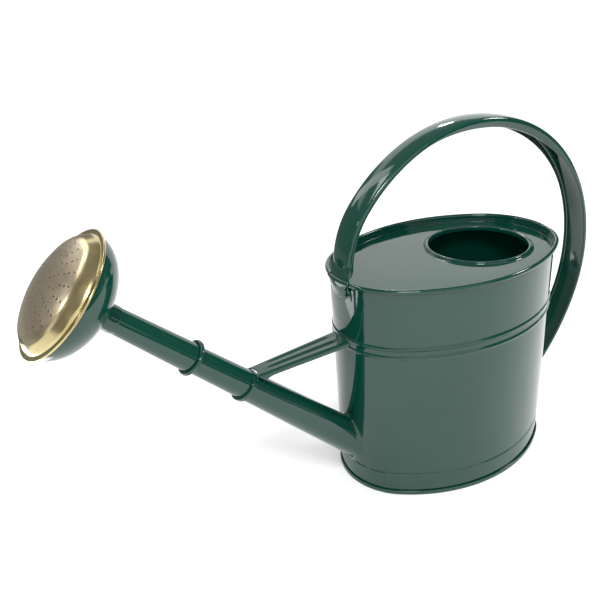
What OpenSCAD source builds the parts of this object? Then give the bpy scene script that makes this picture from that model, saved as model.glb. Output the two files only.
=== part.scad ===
// Nine-litre watering can: an oval sheet-steel can with a hooped channel handle,
// a long tapered spout held by a strut, and a brass-faced rose that slips off the spout.
// Millimetres. The origin is the middle of the base on the ground, +Z is up, the spout
// points towards -X and the handle's back leg and the fill opening are on the +X side.

/* [Body] */
// Height from the ground to the top of the rolled rim
body_h = 252; // [220:1:280]
// Length of the oval wall at the rim
body_l = 267; // [250:1:285]
// Radius of the oval's tight ends at the rim
body_end_r = 75; // [70:0.5:78]
// Half the angle of each tight end; a larger angle makes the can narrower
end_angle = 52.25; // [51:0.25:54]
// How far the wall leans out, on each side, from the ground to the rim
flare = 3.5; // [0:0.5:6]
// Thickness of the sheet steel
sheet = 0.8; // [0.6:0.1:1.2]
// Height of the lower of the two raised beads
bead_low_z = 175; // [120:1:190]
// Distance between the two raised beads
bead_pitch = 9.8; // [8:0.1:16]
// How far the beads stand out
bead_rise = 1.3; // [0.6:0.1:2]
// Height of the groove above the base
groove_z = 27; // [18:1:50]
// Radius of the rolled rim, outside
rim_r = 2.5; // [2:0.1:3.5]

/* [Base and top plate] */
// Height of the recessed base panel above the ground
base_panel_z = 5; // [4:0.5:10]
// How far the bottom seam stands out of the wall
seam_out = 1.9; // [1.8:0.1:3]
// Height of the bottom seam
seam_h = 5; // [4:0.5:8]
// Depth of the top plate below the top of the rim
deck_drop = 9.4; // [8:0.1:14]
// Radius of the fill opening
filler_r = 54.4; // [45:0.1:56]
// How far the fill opening lies behind the middle of the can
filler_x = 49; // [44:1:52]
// Height of the fill opening's lip above the top plate
filler_rise = 3; // [3:0.5:9]

/* [Spout] */
// Height at which the spout's centre line leaves the wall
spout_root_z = 55; // [50:1:62]
// Angle of the spout above the ground
spout_angle = 43.3; // [41:0.1:46]
// Outer radius of the spout at the wall
spout_root_r = 19.6; // [17:0.1:21]
// Outer radius of the spout at its mouth
spout_tip_r = 11.2; // [10:0.1:12]
// Length of the spout from the wall to its mouth
spout_l = 310; // [300:1:315]

/* [Rose] */
// Distance along the spout to the open end of the rose's sleeve
sleeve_at = 231; // [226:1:240]
// Thickness of the sleeve
sleeve_t = 0.9; // [0.7:0.1:1.2]
// Clearance between the sleeve and the spout
sleeve_gap = 0.3; // [0.25:0.05:0.4]
// Distance along the spout to the rim of the rose
rose_at = 371.5; // [368:0.5:376]
// Outer radius of the rose's rim
rose_r = 60.3; // [56:0.1:64]
// Depth of the rose's round back
rose_depth = 38; // [34:1:40]
// Height of the brass face's shoulder above the rim
face_step = 11; // [8:0.5:12]
// Height of the brass face's dome above its shoulder
face_dome = 8.8; // [6:0.2:10]
// Radius of the small holes in the rose
hole_r = 0.6; // [0.5:0.05:0.9]

/* [Handle] */
// Width of the handle's channel
handle_w = 33.5; // [30:0.5:38]
// Depth of the handle's channel
handle_d = 5.6; // [4.5:0.1:7]
// Thickness of the handle's steel
handle_t = 1; // [0.8:0.1:1.3]
// Width of the handle's opened-out front end
handle_foot_w = 46; // [40:0.5:50]
// Outer radius of the handle's main hoop
hoop_r = 182; // [178:1:186]
// Distance of the hoop's centre behind the middle of the can
hoop_x = 30; // [28:1:32]
// Height of the hoop's centre
hoop_z = 207; // [204:1:210]

/* [Brackets] */
// Width of the front bracket plate
bracket_w = 43; // [38:0.5:46]
// Width of the front bracket plate along its bottom edge
bracket_tip_w = 22; // [16:0.5:28]
// Height of the front bracket's bottom edge
bracket_z = 202; // [195:1:208]
// Thickness of the bracket plates
bracket_t = 1.2; // [1:0.1:1.5]

/* [Strut] */
// Height of the strut's top face at the wall
strut_z = 185; // [180:1:188]
// Width of the strut at the wall
strut_w = 32; // [28:1:34]
// Width of the strut at the spout
strut_tip_w = 22; // [18:1:24]
// Distance along the spout to the strut's collar
collar_at = 165; // [160:1:170]

/* [Hidden] */
$fn = 96;
green = [0.03, 0.24, 0.2];
brass = [0.82, 0.72, 0.42];
// Clearance left between sheets that are folded over each other
lap = 0.05;
// The oval is four arcs, given here for the wall's outer face at the ground
half_l = body_l / 2 - flare;
end_r = body_end_r - flare;
end_x = half_l - end_r;
side_y = end_x * tan(end_angle);
side_r = end_r + end_x / cos(end_angle);
deck_z = body_h - deck_drop;
lip_z = deck_z + filler_rise;
spout_root_x = 1 - half_l;
// Half the height of each raised bead, and the size of the groove near the base
bead_half = 2.8;
groove_half = 2.4;
groove_depth = 0.9;
// The small bevels that stand for the turned edges of the bottom seam
seam_bevel = 0.6;
// The flat inner panels of the base and the top plate meet their swept edges here
panel_edge = 14;
// Radius of the turned-up edge of the top plate, and the height of that edge
deck_turn_r = 1.2;
deck_edge_h = 4.4;
// Radius of the rolled lip of the fill opening, and of the bend at its foot
lip_r = 1.5;
lip_foot_r = 2.5;
// Middle of the rolled rim, as a distance outside the oval
rim_roll = rim_r - sheet / 2;
rim_z = body_h - rim_r;
rim_off = flare * rim_z / body_h - sheet / 2 + rim_roll;
// The hoop runs on into a tighter front leg and a flatter back leg, tangent to it
hoop_c = [hoop_x, hoop_z];
leg_r = 99;
leg_from = 141;
leg_c = hoop_c + (hoop_r - leg_r) * [cos(leg_from), sin(leg_from)];
leg_to = 177;
back_r = 243;
back_from = -19.5;
back_c = hoop_c - (back_r - hoop_r) * [cos(back_from), sin(back_from)];
// The back leg bends down, on this radius, into a tab that lies on the rear bracket
tab_bend_r = 10;
tab_x = half_l + flare * 40 / body_h + bracket_t + 2 * lap + handle_t / 2;
// Angles by which the bend runs on into the tab and into the leg
into_tab = 2;
into_leg = 3;
back_to = -acos((tab_x + tab_bend_r - back_c[0]) / (back_r - handle_t / 2 + tab_bend_r));
tab_low_z = 20;
// The strut's collar and the sleeve's rolled end
collar_r = spout_root_r - 1.6;
collar_l = 5;
sleeve_roll = 1.8;
// Where the sleeve stops, inside the neck of the rose
sleeve_end = rose_at - rose_depth - 3;
neck_r = 11;
// Where the neck ring starts, on the sleeve
neck_at = rose_at - rose_depth - 14;
// The brass face's dome, inside its shoulder
face_t = 0.6;
dome_r = 44;
// Rings of holes in the brass face: how many to a ring, and the radii of the rings
hole_rings = [[21, [33.3, 38, 42.7]], [14, [22.5, 28]], [7, [11, 17]], [1, [0]]];

// Points along an arc about c from angle a0 to angle a1
function arc(c, r, a0, a1, n = 8) =
    [for (i = [0:n]) let (a = a0 + (a1 - a0) * i / n) c + r * [cos(a), sin(a)]];

// Left-hand normal of a path at its point i
function path_normal(p, i) =
    let (a = p[max(i - 1, 0)], b = p[min(i + 1, len(p) - 1)], u = (b - a) / norm(b - a)) [-u[1], u[0]];

// Outline of a sheet of thickness t bent along the path p
function sheet_outline(p, t) = concat(
    [for (i = [0:len(p) - 1]) p[i] + path_normal(p, i) * t / 2],
    [for (i = [len(p) - 1:-1:0]) p[i] - path_normal(p, i) * t / 2]);

// How far the middle of the wall's sheet lies outside the oval at height z
function wall(z) = flare * z / body_h - sheet / 2;

// Smooth bump of the wall about height z0
function bump(z0, half, rise, n = 8) =
    [for (i = [0:n]) let (z = z0 - half + 2 * half * i / n)
        [wall(z) + rise * (1 - cos(360 * i / n)) / 2, z]];

// Outer radius of the spout at distance d from the wall
function spout_r(d) = spout_root_r + (spout_tip_r - spout_root_r) * d / spout_l;

// Inner radius of the rose's sleeve at distance d from the wall
function sleeve_r(d) = spout_r(d) + sleeve_gap;

// A profile of distance outside the oval and height, swept right round the oval
module around_oval() {
    for (side = [1, -1]) {
        translate([side * end_x, 0, 0])
            rotate_extrude(angle = 2 * end_angle, start = 90 - 90 * side - end_angle)
                translate([end_r, 0]) children();
        translate([0, -side * side_y, 0])
            rotate_extrude(angle = 180 - 2 * end_angle, start = 90 - 90 * side + end_angle)
                translate([side_r, 0]) children();
    }
}

// A profile of distance outside the oval and height, swept along half a width of one end
module along_end(width) {
    spread = asin(width / 2 / end_r);
    translate([end_x, 0, 0]) rotate([0, 0, -spread])
        rotate_extrude(angle = 2 * spread) translate([end_r, 0]) children();
}

// Flat oval panel whose edge lies off outside the oval
module oval_panel(off, z, t) {
    n = 10;
    tight = [for (i = [1:2:2 * n - 1]) let (a = end_angle * i / (2 * n))
        [end_x, 0] + (end_r + off) * [cos(a), sin(a)]];
    gentle = [for (i = [1:2:2 * n - 1]) let (a = end_angle + (90 - end_angle) * i / (2 * n))
        [0, -side_y] + (side_r + off) * [cos(a), sin(a)]];
    quarter = concat(tight, gentle);
    half = concat(quarter, [for (i = [len(quarter) - 1:-1:0]) [-quarter[i][0], quarter[i][1]]]);
    translate([0, 0, z]) linear_extrude(t)
        polygon(concat(half, [for (i = [len(half) - 1:-1:0]) [half[i][0], -half[i][1]]]));
}

// The spout's own axis: Z runs out along the spout from the wall
module on_spout() {
    translate([spout_root_x, 0, spout_root_z]) rotate([0, spout_angle - 90, 0]) children();
}

// Turned sheet of thickness t on the spout's axis, from a path of radius and distance
module spun(p, t) {
    rotate_extrude() polygon(sheet_outline(p, t));
}

// The solid that the front wall's outer face bounds, grown by off
module front_end(off) {
    translate([-end_x, 0, 0]) cylinder(h = body_h, r1 = end_r + off, r2 = end_r + flare + off);
}

module body_shell() {
    path = concat([[wall(seam_h) + 0.9, sheet * 1.5 + lap], [wall(1), sheet * 1.5 + lap + 0.6]],
        bump(groove_z, groove_half, -groove_depth), bump(bead_low_z, bead_half, bead_rise),
        bump(bead_low_z + bead_pitch, bead_half, bead_rise),
        arc([rim_off, rim_z], rim_roll, 180, -140, 12));
    color(green) difference() {
        around_oval() polygon(sheet_outline(path, sheet));
        on_spout() translate([0, 0, -40]) cylinder(h = 60, r = spout_root_r - sheet - 0.5);
    }
}

module base_plate() {
    // The panel turns down inside the wall, under its edge and up outside it
    inner = -sheet - lap;
    top = base_panel_z + sheet / 2;
    bevel = seam_bevel;
    color(green) {
        around_oval() polygon([[-panel_edge, top - sheet], [inner - sheet - 0.7, top - sheet],
            [inner - sheet, top - sheet - 0.7], [inner - sheet, bevel], [inner - sheet + bevel, 0],
            [seam_out - bevel, 0], [seam_out, bevel], [seam_out, seam_h - bevel],
            [seam_out - bevel, seam_h], [seam_out - 2 * bevel, seam_h],
            [seam_out - 2 * bevel, seam_h - 0.4], [seam_out - sheet, seam_h - 0.8],
            [seam_out - sheet, sheet], [inner, sheet], [inner, top - 1], [inner - 1, top],
            [-panel_edge, top]]);
        oval_panel(6 - panel_edge, top - sheet + 0.3, sheet);
    }
}

module rim_wire() {
    color("silver") around_oval() polygon(arc([rim_off, rim_z], rim_r - sheet - lap, 0, 342, 19));
}

module deck() {
    edge = wall(deck_z) - sheet - lap;
    turn_z = deck_z - sheet / 2 + deck_turn_r;
    path = concat([[-panel_edge, deck_z - sheet / 2]],
        arc([edge - deck_turn_r, turn_z], deck_turn_r, -90, 0, 4),
        [[edge + 0.05, deck_z + deck_edge_h]]);
    bore = filler_r + sheet / 2;
    foot = [filler_r + 6.8, deck_z - sheet / 2 + lip_foot_r];
    collar = concat([[filler_r + 12, deck_z - sheet / 2], [filler_r + 8, deck_z - sheet / 2]],
        arc(foot, lip_foot_r, -90, -160, 5),
        arc([bore + lip_r, lip_z - lip_r - sheet / 2], lip_r, 20, 180, 8), [[bore, deck_z - 2]]);
    color(green) {
        around_oval() polygon(sheet_outline(path, sheet));
        difference() {
            oval_panel(6 - panel_edge, deck_z - sheet, sheet);
            translate([filler_x, 0, deck_z - 5]) cylinder(h = 10, r = filler_r + 9);
        }
        translate([filler_x, 0, 0]) rotate_extrude() polygon(sheet_outline(collar, sheet));
    }
}

// Section of the handle's channel, with its outer face at radius r and edges turned in
module channel(r, t = handle_t) {
    y = handle_w / 2 - handle_t / 2;
    inner = r - handle_d + handle_t / 2;
    half = concat([[inner + 0.8, y - 2.4]], arc([inner + 1.2, y - 1.2], 1.2, 200, 90, 4),
        arc([r - handle_t / 2 - 1.6, y - 1.6], 1.6, 90, 0, 4));
    mirrored = [for (i = [len(half) - 1:-1:0]) [half[i][0], -half[i][1]]];
    polygon(sheet_outline(concat(half, mirrored), t));
}

// Sweep of a radius and width section, about a centre in the can's middle plane
module hoop_arc(c, from, to) {
    translate([c[0], 0, c[1]]) rotate([90, 0, 0])
        rotate_extrude(angle = from - to, start = to) children();
}

module handle() {
    foot = leg_c + (leg_r - handle_t / 2) * [cos(leg_to), sin(leg_to)];
    foot_lean = 22;
    foot_l = 10.5;
    step = 0.1;
    tab_z = back_c[1] + (back_r - handle_t / 2 + tab_bend_r) * sin(back_to);
    color(green) {
        hoop_arc(hoop_c, leg_from, back_from) channel(hoop_r);
        // The legs run a little way into the hoop's end, a touch thinner, so that they join it
        hoop_arc(leg_c, leg_to, leg_from - 1) channel(leg_r, handle_t - step);
        hoop_arc(back_c, back_from + 1, back_to) channel(back_r, handle_t - step);
        // The front end opens out, away from the can
        translate([foot[0], 0, foot[1]]) rotate([0, foot_lean - 90, 0])
            translate([0, 0, -handle_t / 2]) linear_extrude(handle_t)
                polygon([[0.6, handle_w / 2 - 3], [0, handle_w / 2], [-foot_l, handle_foot_w / 2],
                    [-foot_l, -handle_foot_w / 2], [0, -handle_w / 2], [0.6, 3 - handle_w / 2]]);
        // The back end bends down flat on the rear bracket
        hoop_arc([tab_x + tab_bend_r, tab_z], 180 + into_tab, 180 + back_to - into_leg)
            translate([tab_bend_r - handle_t / 2 + step / 2, 2 - handle_w / 2])
                square([handle_t - step, handle_w - 4]);
        translate([tab_x - handle_t / 2, -handle_w / 2, tab_low_z])
            cube([handle_t, handle_w, tab_z - tab_low_z]);
    }
}

// Wedges that cut a plate's two lower corners off, down to the given width at height z
module corner_cuts(width, tip_width, z, rise) {
    for (side = [-1, 1]) translate([half_l - 30, 0, 0]) rotate([90, 0, 90]) linear_extrude(60)
        polygon([[side * tip_width / 2, z - 1], [side * width, z - 1], [side * width, z + rise],
            [side * width / 2, z + rise], [side * tip_width / 2, z]]);
}

module front_bracket() {
    off = lap + bracket_t / 2;
    face = flare / body_h;
    path = concat([[face * bracket_z + off, bracket_z], [face * 241 + off, 241],
        [rim_off + rim_r + off, 246.5]], arc([rim_off, rim_z], rim_r + off, 0, 75, 5),
        [[rim_off - 1.2, rim_z + 6]]);
    color(green) rotate([0, 0, 180]) {
        difference() {
            along_end(bracket_w) polygon(sheet_outline(path, bracket_t));
            corner_cuts(bracket_w, bracket_tip_w, bracket_z, 17);
            // Above the rim only the tongue goes on, up inside the handle's channel
            for (side = [-1, 1])
                translate([half_l - 20, side > 0 ? 11 : -61, rim_z + 1.5]) cube([40, 50, 20]);
        }
    }
}

module rear_bracket() {
    off = lap + bracket_t / 2;
    face = flare / body_h;
    low_z = 16;
    high_z = 46;
    color(green) difference() {
        along_end(bracket_w) polygon(sheet_outline([[face * low_z + off, low_z],
            [face * high_z + off, high_z]], bracket_t));
        corner_cuts(bracket_w, bracket_tip_w, low_z, 10);
    }
}

module strut() {
    top_l = 108;
    slope = 3.6;
    // Depth of the channel and the thickness of its steel
    depth = 4.5;
    t = 1;
    root = half_l + flare * strut_z / body_h + bead_rise + lap;
    color(green) difference() {
        translate([-root, 0, strut_z]) rotate([0, -slope, 0]) difference() {
            translate([0, 0, -depth]) linear_extrude(depth)
                polygon([[0, strut_w / 2], [-top_l, strut_tip_w / 2],
                    [-top_l, -strut_tip_w / 2], [0, -strut_w / 2]]);
            translate([0, 0, -depth - t]) linear_extrude(depth)
                polygon([[t, strut_w / 2 - t], [-top_l - t, strut_tip_w / 2 - t],
                    [-top_l - t, t - strut_tip_w / 2], [t, t - strut_w / 2]]);
        }
        on_spout() translate([0, 0, collar_at - 60]) cylinder(h = 120, r = collar_r + lap);
    }
}

module strut_collar() {
    low = collar_at - collar_l / 2;
    high = collar_at + collar_l / 2;
    color(green) on_spout() rotate_extrude() polygon([[spout_r(low) + lap, low],
        [collar_r - 0.6, low], [collar_r, low + 0.6], [collar_r, high - 0.6],
        [collar_r - 0.6, high], [spout_r(high) + lap, high]]);
}

module spout() {
    color(green) difference() {
        on_spout() rotate_extrude() polygon([[spout_r(-24), -24], [spout_r(spout_l), spout_l],
            [spout_r(spout_l) - sheet, spout_l], [spout_r(-24) - sheet, -24]]);
        front_end(lap);
    }
}

module rose_sleeve() {
    mid = sleeve_r(sleeve_at) + sleeve_t / 2;
    roll_c = [mid + sleeve_roll, sleeve_at + sleeve_roll + sleeve_t / 2];
    color(green) on_spout() spun(concat([[sleeve_r(sleeve_end) + sleeve_t / 2, sleeve_end]],
        arc(roll_c, sleeve_roll, 180, 470, 14)), sleeve_t);
}

module sleeve_wire() {
    mid = sleeve_r(sleeve_at) + sleeve_t / 2;
    color("silver") on_spout() rotate_extrude()
        translate([mid + sleeve_roll, sleeve_at + sleeve_roll + sleeve_t / 2])
            circle(r = sleeve_roll - sleeve_t / 2 - lap, $fn = 24);
}

module rose_neck() {
    snug = sleeve_r(neck_at) + sleeve_t + 0.3 + sheet / 2;
    color(green) on_spout() spun([[snug, neck_at], [snug + 0.5, neck_at + 1.5],
        [snug + 0.9, neck_at + 3.5], [snug + 1, neck_at + 5.5], [snug + 0.8, neck_at + 8],
        [snug + 0.3, neck_at + 10.5], [snug + 0.2, neck_at + 11.6], [snug + 1, neck_at + 12.9],
        [snug + 3.4, neck_at + 13.8]], sheet);
}

module rose_back() {
    shell_r = rose_r - 2.8;
    lean = asin(neck_r / shell_r);
    dome = [for (i = [0:10]) let (a = lean + (87 - lean) * i / 10)
        [shell_r * sin(a), rose_at - 0.6 - rose_depth * cos(a)]];
    edge = [[shell_r + 0.2, rose_at - 0.7], [shell_r + 1.4, rose_at - 0.6]];
    color(green) on_spout() spun(concat(dome, edge), sheet);
}

module rose_face() {
    cap_r = (dome_r * dome_r + face_dome * face_dome) / (2 * face_dome);
    cap_a = atan2(dome_r, cap_r - face_dome);
    // The shoulder bends from the dome's own slope to a steep cone that ends at the flange
    brow = [dome_r, rose_at + face_step];
    bend = brow + [6, -2.6];
    hem = [rose_r - 4.8, rose_at + 1];
    cap = [for (i = [0:5]) let (a = cap_a * i / 5)
        [cap_r * sin(a), rose_at + face_step + face_dome - cap_r * (1 - cos(a))]];
    shoulder = [for (i = [1:5]) let (f = i / 5)
        (1 - f) * (1 - f) * brow + 2 * f * (1 - f) * bend + f * f * hem];
    crimp = [[rose_r - 4, rose_at + 0.15], [rose_r - 1.1, rose_at + 0.15], [rose_r - 0.55, rose_at - 0.1],
        [rose_r - 0.3, rose_at - 0.6], [rose_r - 0.55, rose_at - 1.2], [rose_r - 1.1, rose_at - 1.5]];
    outline = sheet_outline(concat(cap, shoulder, crimp), face_t);
    color(brass) on_spout() difference() {
        rotate_extrude() polygon([for (q = outline) [max(q[0], 0), q[1]]]);
        for (ring = hole_rings, r = ring[1], i = [1:ring[0]])
            rotate([0, 0, i * 360 / ring[0]]) translate([r, 0, rose_at])
                cylinder(h = 30, r = hole_r, $fn = 16);
    }
}

body_shell();
base_plate();
rim_wire();
deck();
handle();
front_bracket();
rear_bracket();
strut();
strut_collar();
spout();
rose_sleeve();
sleeve_wire();
rose_neck();
rose_back();
rose_face();
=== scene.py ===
import math

import bmesh
import bpy
import numpy as np
from mathutils import Matrix, Vector
from mathutils.geometry import delaunay_2d_cdt


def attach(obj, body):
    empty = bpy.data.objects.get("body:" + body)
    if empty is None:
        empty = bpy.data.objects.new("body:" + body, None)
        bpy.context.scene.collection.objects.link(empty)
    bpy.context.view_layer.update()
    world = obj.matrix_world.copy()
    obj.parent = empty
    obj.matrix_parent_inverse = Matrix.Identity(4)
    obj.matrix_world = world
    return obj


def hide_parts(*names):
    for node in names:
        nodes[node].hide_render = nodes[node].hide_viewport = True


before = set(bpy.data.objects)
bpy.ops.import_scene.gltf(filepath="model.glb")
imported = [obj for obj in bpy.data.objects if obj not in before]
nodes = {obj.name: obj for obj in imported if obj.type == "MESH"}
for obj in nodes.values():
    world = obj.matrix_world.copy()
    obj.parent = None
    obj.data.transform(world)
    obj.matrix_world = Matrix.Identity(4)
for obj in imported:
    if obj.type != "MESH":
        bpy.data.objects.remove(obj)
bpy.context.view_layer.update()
MM = 0.001

# ---------------------------------------------------------------- the can's dimensions, mm
# The body is an oval of two end arcs and two side arcs, and it flares towards the top
BODY_H, FLARE, SHEET, LAP = 252.0, 3.5, 0.8, 0.05
HALF_L, END_R, END_ANGLE = 130.0, 71.5, math.radians(52.25)
END_X = HALF_L - END_R
SIDE_Y = END_X * math.tan(END_ANGLE)
SIDE_R = END_R + END_X / math.cos(END_ANGLE)
RIM_R = 2.5
RIM_ROLL = RIM_R - SHEET / 2
RIM_Z = BODY_H - RIM_R
RIM_OFF = FLARE * RIM_Z / BODY_H - SHEET / 2 + RIM_ROLL
GROOVE_Z, GROOVE_HALF, GROOVE_DEPTH = 27, 2.4, 0.9
BEADS_Z, BEAD_HALF, BEAD_RISE = (175, 184.8), 2.8, 1.3
SEAM_OUT, SEAM_H, SEAM_BEND = 1.9, 5.0, 0.75
PANEL_Z, PANEL_STEP = 5.4, 1.0
DECK_Z, DECK_BEND, DECK_CROWN = BODY_H - 9.4, 1.2, 0.35
FILL_R, FILL_X, FILL_RISE, FILL_LIP, FILL_SWEEP = 54.4, 49.0, 3.0, 1.5, 2.9

# The spout leaves the front wall at SPOUT_X, SPOUT_Z and climbs at SPOUT_A
SPOUT_A = math.radians(43.3)
SPOUT_X, SPOUT_Z = 1 - HALF_L, 55.0
SPOUT_L, SPOUT_R0, SPOUT_R1 = 310.0, 19.6, 11.2
STRUT_Z, STRUT_W, STRUT_TIP_W, STRUT_L = 185.0, 32.0, 22.0, 108.0
STRUT_SLOPE, STRUT_DEPTH, STRUT_BEND, STRUT_CROWN = math.radians(3.6), 4.5, 1.6, 0.25
COLLAR_AT, COLLAR_R, COLLAR_HALF, COLLAR_EDGE = 165.0, 18.0, 2.5, 0.8
SLEEVE_AT, SLEEVE_T, SLEEVE_GAP, SLEEVE_ROLL = 231.0, 0.9, 0.3, 1.8
ROSE_AT, ROSE_R, ROSE_DEPTH = 371.5, 60.3, 38.0
DOME_R, FACE_STEP, FACE_DOME, FACE_T = 44.0, 11.0, 8.8, 0.6
CAP_R = (DOME_R ** 2 + FACE_DOME ** 2) / (2 * FACE_DOME)
# Rings of holes in the brass face: (radius of the ring, number of holes)
HOLES = [(0.0, 1), (11.0, 7), (17.0, 7), (22.5, 14), (28.0, 14), (33.3, 21), (38.0, 21),
         (42.7, 21)]
HOLE_R, HOLE_LIP_R = 0.68, 1.0

# The handle's sheet, its channel and the plates under its feet
HANDLE_T, HANDLE_HALF_W, CHANNEL_BEND, CHANNEL_CROWN = 1.0, 16.75, 3.4, 1.3
WEB = HANDLE_T / 2
FOOT_L, FOOT_LEAN, FOOT_BEND, FOOT_Z = 13.0, 22.0, 9.0, 255.0
FOOT_OPEN, FOOT_SPREAD, TAB_OPEN, TAB_NARROW = 0.82, 1.2, 0.94, 0.4
TAB_BEND, TAB_FOOT_Z, TAB_FADE = 10.0, 20.0, 22
# The grip runs between two angles round the hoop's centre, and stays above GRIP_LOW_Z
GRIP_FRONT, GRIP_BACK, GRIP_LOW_Z = 114, 22, 215
# A bracket plate takes up BRACKET_T, and its sheet is PLATE_T thick, so that nothing touches
BRACKET_T, PLATE_T, BRACKET_HALF_W, BRACKET_TIP_W = 1.2, 1.1, 21.5, 11


def wall_face(z):
    """Outer face of the wall at height z, as a distance outside the base oval."""
    return FLARE * z / BODY_H


def wall_mid(z):
    """Middle of the wall's sheet at height z, as a distance outside the base oval."""
    return wall_face(z) - SHEET / 2


def spout_r(d):
    """Outer radius of the spout, at d along it from the wall."""
    return SPOUT_R0 + (SPOUT_R1 - SPOUT_R0) * d / SPOUT_L


# The spout's own frame: local Z runs out along the spout from the wall
ALONG = Vector((-math.cos(SPOUT_A), 0, math.sin(SPOUT_A)))
SPOUT_FRAME = Matrix.Translation(Vector((SPOUT_X, 0, SPOUT_Z)) * MM) @ Matrix.Rotation(
    SPOUT_A - math.pi / 2, 4, "Y")


# ---------------------------------------------------------------- mesh helpers
# Points closer than WELD are joined, and edges shorter than SLIVER are dissolved, in metres
WELD, SLIVER = 2e-6, 1e-7


def arc(cx, cy, r, a0, a1, n):
    """n + 1 points on an arc, angles in degrees."""
    out = []
    for i in range(n + 1):
        a = math.radians(a0 + (a1 - a0) * i / n)
        out.append((cx + r * math.cos(a), cy + r * math.sin(a)))
    return out


def unit2(deg):
    """The unit vector at an angle in degrees."""
    return np.array([math.cos(math.radians(deg)), math.sin(math.radians(deg))])


def smooth01(t):
    """0 below 0, 1 above 1 and a smooth step between them."""
    t = min(1.0, max(0.0, t))
    return t * t * (3 - 2 * t)


def link(name, verts, faces, matrix=None):
    """A new mesh object from points in millimetres, given in the frame that matrix stands for."""
    me = bpy.data.meshes.new(name)
    me.from_pydata([(v[0] * MM, v[1] * MM, v[2] * MM) for v in verts], [], faces)
    me.validate()
    if matrix is not None:
        me.transform(matrix)
    ob = bpy.data.objects.new(name, me)
    bpy.context.scene.collection.objects.link(ob)
    return ob


def quads(rows, wrap=False, close_rows=False, skip=None):
    """Points and quads over a grid of points. wrap joins each row's ends, close_rows joins the
    last row to the first, and skip(i, j) leaves a quad out."""
    nr, nc = len(rows), len(rows[0])
    verts = [p for row in rows for p in row]
    faces = []
    for i in range(nr if close_rows else nr - 1):
        for j in range(nc if wrap else nc - 1):
            if skip and skip(i, j):
                continue
            a, b = i * nc + j, i * nc + (j + 1) % nc
            c, d = ((i + 1) % nr) * nc + (j + 1) % nc, ((i + 1) % nr) * nc + j
            faces.append((a, b, c, d))
    return verts, faces


def grid(name, rows, matrix=None, **how):
    """A mesh object over a grid of points; how is what quads() takes."""
    verts, faces = quads(rows, **how)
    return link(name, verts, faces, matrix)


def finish_mesh(ob, angle=38.0):
    """Outward normals, smooth shading and sharp edges where the surface really folds."""
    bm = bmesh.new()
    bm.from_mesh(ob.data)
    bmesh.ops.remove_doubles(bm, verts=bm.verts, dist=WELD)
    bmesh.ops.dissolve_degenerate(bm, dist=SLIVER, edges=bm.edges)
    loose = [v for v in bm.verts if not v.link_faces]
    bmesh.ops.delete(bm, geom=loose, context="VERTS")
    bmesh.ops.recalc_face_normals(bm, faces=bm.faces)
    for f in bm.faces:
        f.smooth = True
    limit = math.radians(angle)
    for e in bm.edges:
        if len(e.link_faces) == 2:
            e.smooth = e.calc_face_angle(0.0) < limit
    bm.to_mesh(ob.data)
    bm.free()
    return ob


def apply_modifiers(ob):
    """Bakes an object's modifiers into its mesh."""
    bpy.context.view_layer.update()
    got = bpy.data.meshes.new_from_object(ob.evaluated_get(bpy.context.evaluated_depsgraph_get()))
    old = ob.data
    ob.modifiers.clear()
    ob.data = got
    bpy.data.meshes.remove(old)


def thicken(ob, t, bevel=0.0):
    """Turns a sheet's middle surface into a solid sheet of thickness t with eased edges."""
    bm = bmesh.new()
    bm.from_mesh(ob.data)
    bmesh.ops.remove_doubles(bm, verts=bm.verts, dist=WELD)
    bmesh.ops.recalc_face_normals(bm, faces=bm.faces)
    bm.to_mesh(ob.data)
    bm.free()
    m = ob.modifiers.new("sheet", "SOLIDIFY")
    m.thickness, m.offset = t * MM, 0.0
    m.use_even_offset = True
    m.use_rim = True
    if bevel:
        b = ob.modifiers.new("edge", "BEVEL")
        b.width, b.segments = bevel * MM, 2
        b.limit_method, b.angle_limit = "ANGLE", math.radians(55)
    apply_modifiers(ob)
    return finish_mesh(ob)


def outline(path, t):
    """Closed outline of a sheet of thickness t bent along a path of 2D points, with round ends."""
    p = np.array(path, float)
    last = len(p) - 1
    normals = []
    for i in range(len(p)):
        a, b = p[max(i - 1, 0)], p[min(i + 1, last)]
        u = (b - a) / np.linalg.norm(b - a)
        normals.append(np.array([-u[1], u[0]]))
    left = [q + m * t / 2 for q, m in zip(p, normals)]
    right = [q - m * t / 2 for q, m in zip(p, normals)]

    def cap(i, sign):
        u = (p[i] - p[i - sign]) / np.linalg.norm(p[i] - p[i - sign])
        return [p[i] + (normals[i] * math.cos(a) * sign + u * math.sin(a)) * t / 2
                for a in (math.pi / 4, math.pi / 2, 3 * math.pi / 4)]

    return [tuple(q) for q in left + cap(last, 1) + right[::-1] + cap(0, -1)]


def oval(n_end, n_side):
    """Stations round the base oval: (x, y, normal x, normal y)."""
    out = []
    for k in range(4):
        turn = math.pi * (k // 2)
        if k % 2 == 0:
            c = (END_X * math.cos(turn), 0.0)
            r, a0, a1, n = END_R, turn - END_ANGLE, turn + END_ANGLE, n_end
        else:
            c = (0.0, -SIDE_Y * math.cos(turn))
            r, a0, a1, n = SIDE_R, turn + END_ANGLE, turn + math.pi - END_ANGLE, n_side
        for i in range(n):
            a = a0 + (a1 - a0) * i / n
            nx, ny = math.cos(a), math.sin(a)
            out.append((c[0] + r * nx, c[1] + r * ny, nx, ny))
    return out


STATIONS = oval(72, 84)


def around(profile):
    """Rows of a profile of (distance outside the oval, height), one row for each station."""
    return [[(x + nx * o, y + ny * o, z) for o, z in profile] for x, y, nx, ny in STATIONS]


def lathe(name, profile_at, seg):
    """Closed outlines of (radius, distance along the spout) turned round the spout's axis;
    profile_at(a) gives the outline at the angle a, which is 0 over the top of the spout."""
    rows = []
    for i in range(seg):
        a = 2 * math.pi * i / seg
        rows.append([(r * math.cos(a), r * math.sin(a), d) for r, d in profile_at(a)])
    return finish_mesh(grid(name, rows, SPOUT_FRAME, wrap=True, close_rows=True))


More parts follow.
